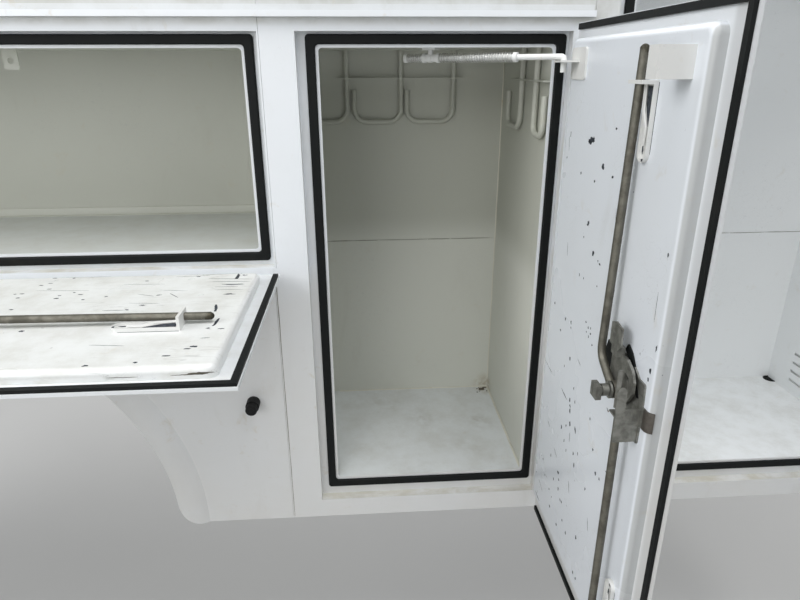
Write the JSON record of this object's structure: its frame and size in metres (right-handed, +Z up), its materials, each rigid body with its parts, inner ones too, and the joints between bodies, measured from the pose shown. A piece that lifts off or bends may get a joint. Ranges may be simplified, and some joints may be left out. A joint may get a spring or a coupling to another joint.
{
  "type": "truck service body side cabinet",
  "caption": "Steel side cabinet of a truck service body: compartments with sealed swing and drop doors, rod latches, a raised front bay, and a flared arch for the wheel.",
  "frame": {"origin": "middle of the bolt pattern on the mounting rail, on the rail's outer face", "axes": "+X to the front of the truck, +Y out of the mounting rail towards the load bed, +Z up"},
  "size_m": [3.61, 1.2895, 1.35],
  "materials": {
    "body_paint": "gloss white",
    "inside_paint": "thin white primer, dusty",
    "seal_rubber": "matte",
    "bump_rubber": "worn",
    "hinge_steel": "painted over",
    "galvanised": "zinc, dull",
    "rod_steel": "oiled and stained",
    "check_steel": "bright zinc"
  },
  "bodies": {
    "cabinet": {"face_rear": "body_paint", "face_wheel": "body_paint", "face_mid": "body_paint", "face_front": "body_paint", "seals": "seal_rubber", "inner_wall_upper": "inside_paint", "inner_wall_lower": "inside_paint", "wheelhouse_liner": "inside_paint", "roof_low": "body_paint", "roof_front": "body_paint", "drip_rail": "body_paint", "end_wall_rear": "body_paint", "end_wall_front": "body_paint", "step_wall": "body_paint", "partitions": "inside_paint", "louvred_wall": "inside_paint", "floors": "inside_paint", "ceilings": "inside_paint", "mounting_rail": "body_paint", "bump_stops": "bump_rubber", "hooks_back": "inside_paint", "hooks_side": "inside_paint", "hinge_rear": "hinge_steel", "hinge_wheel": "hinge_steel", "hinge_mid": "hinge_steel", "hinge_front": "hinge_steel"},
    "door_rear": {"door_rear_skin": "body_paint", "door_rear_pan": "body_paint", "door_rear_seal": "seal_rubber", "latch_rear": "galvanised", "rods_rear": "rod_steel", "guides_rear": "body_paint"},
    "door_wheel": {"door_wheel_skin": "body_paint", "door_wheel_pan": "body_paint", "door_wheel_seal": "seal_rubber", "latch_wheel": "galvanised", "rods_wheel": "rod_steel", "guides_wheel": "body_paint"},
    "door_mid": {"door_mid_skin": "body_paint", "door_mid_pan": "body_paint", "door_mid_seal": "seal_rubber", "latch_mid": "galvanised", "rods_mid": "rod_steel", "guides_mid": "body_paint"},
    "door_front": {"door_front_skin": "body_paint", "door_front_pan": "body_paint", "door_front_seal": "seal_rubber", "latch_front": "galvanised", "rods_front": "rod_steel", "guides_front": "body_paint"},
    "check_rod": {"check_rod": "check_steel", "check_spring_long": "check_steel", "check_spring_short": "check_steel"},
    "check_swivel": {"check_swivel": "check_steel"}
  },
  "joints": [
    {"name": "door_mid_hinge", "type": "hinge", "parent": "cabinet", "child": "door_mid", "pos_m": [0.899, -0.478, 0], "axis": [0, 0, 1], "range_deg": [-90, 0]},
    {"name": "door_front_hinge", "type": "hinge", "parent": "cabinet", "child": "door_front", "pos_m": [1.764, -0.478, 0], "axis": [0, 0, 1], "range_deg": [-90, 0]},
    {"name": "door_rear_hinge", "type": "hinge", "parent": "cabinet", "child": "door_rear", "pos_m": [-1.769, -0.478, 0], "axis": [0, 0, -1], "range_deg": [0, 90]},
    {"name": "door_wheel_hinge", "type": "hinge", "parent": "cabinet", "child": "door_wheel", "pos_m": [-0.435, -0.478, 0.033], "axis": [1, 0, 0], "range_deg": [-90, 84]},
    {"name": "check_rod_pivot", "type": "hinge", "parent": "door_mid", "child": "check_rod", "pos_m": [0.8543, -0.532, 0.43], "axis": [0, 0, 1], "range_deg": [0, 108]},
    {"name": "check_swivel_slide", "type": "slide", "parent": "check_rod", "child": "check_swivel", "axis": [0.811, -0.5851, 0], "range_m": [0, 0.065], "deforming": ["check_spring_long"]}
  ],
  "couplings": [
    {"joint": "check_rod_pivot", "follows": "door_mid_hinge", "ratio": -1.199},
    {"joint": "check_swivel_slide", "follows": "door_mid_hinge", "m_per_rad": -0.041}
  ]
}
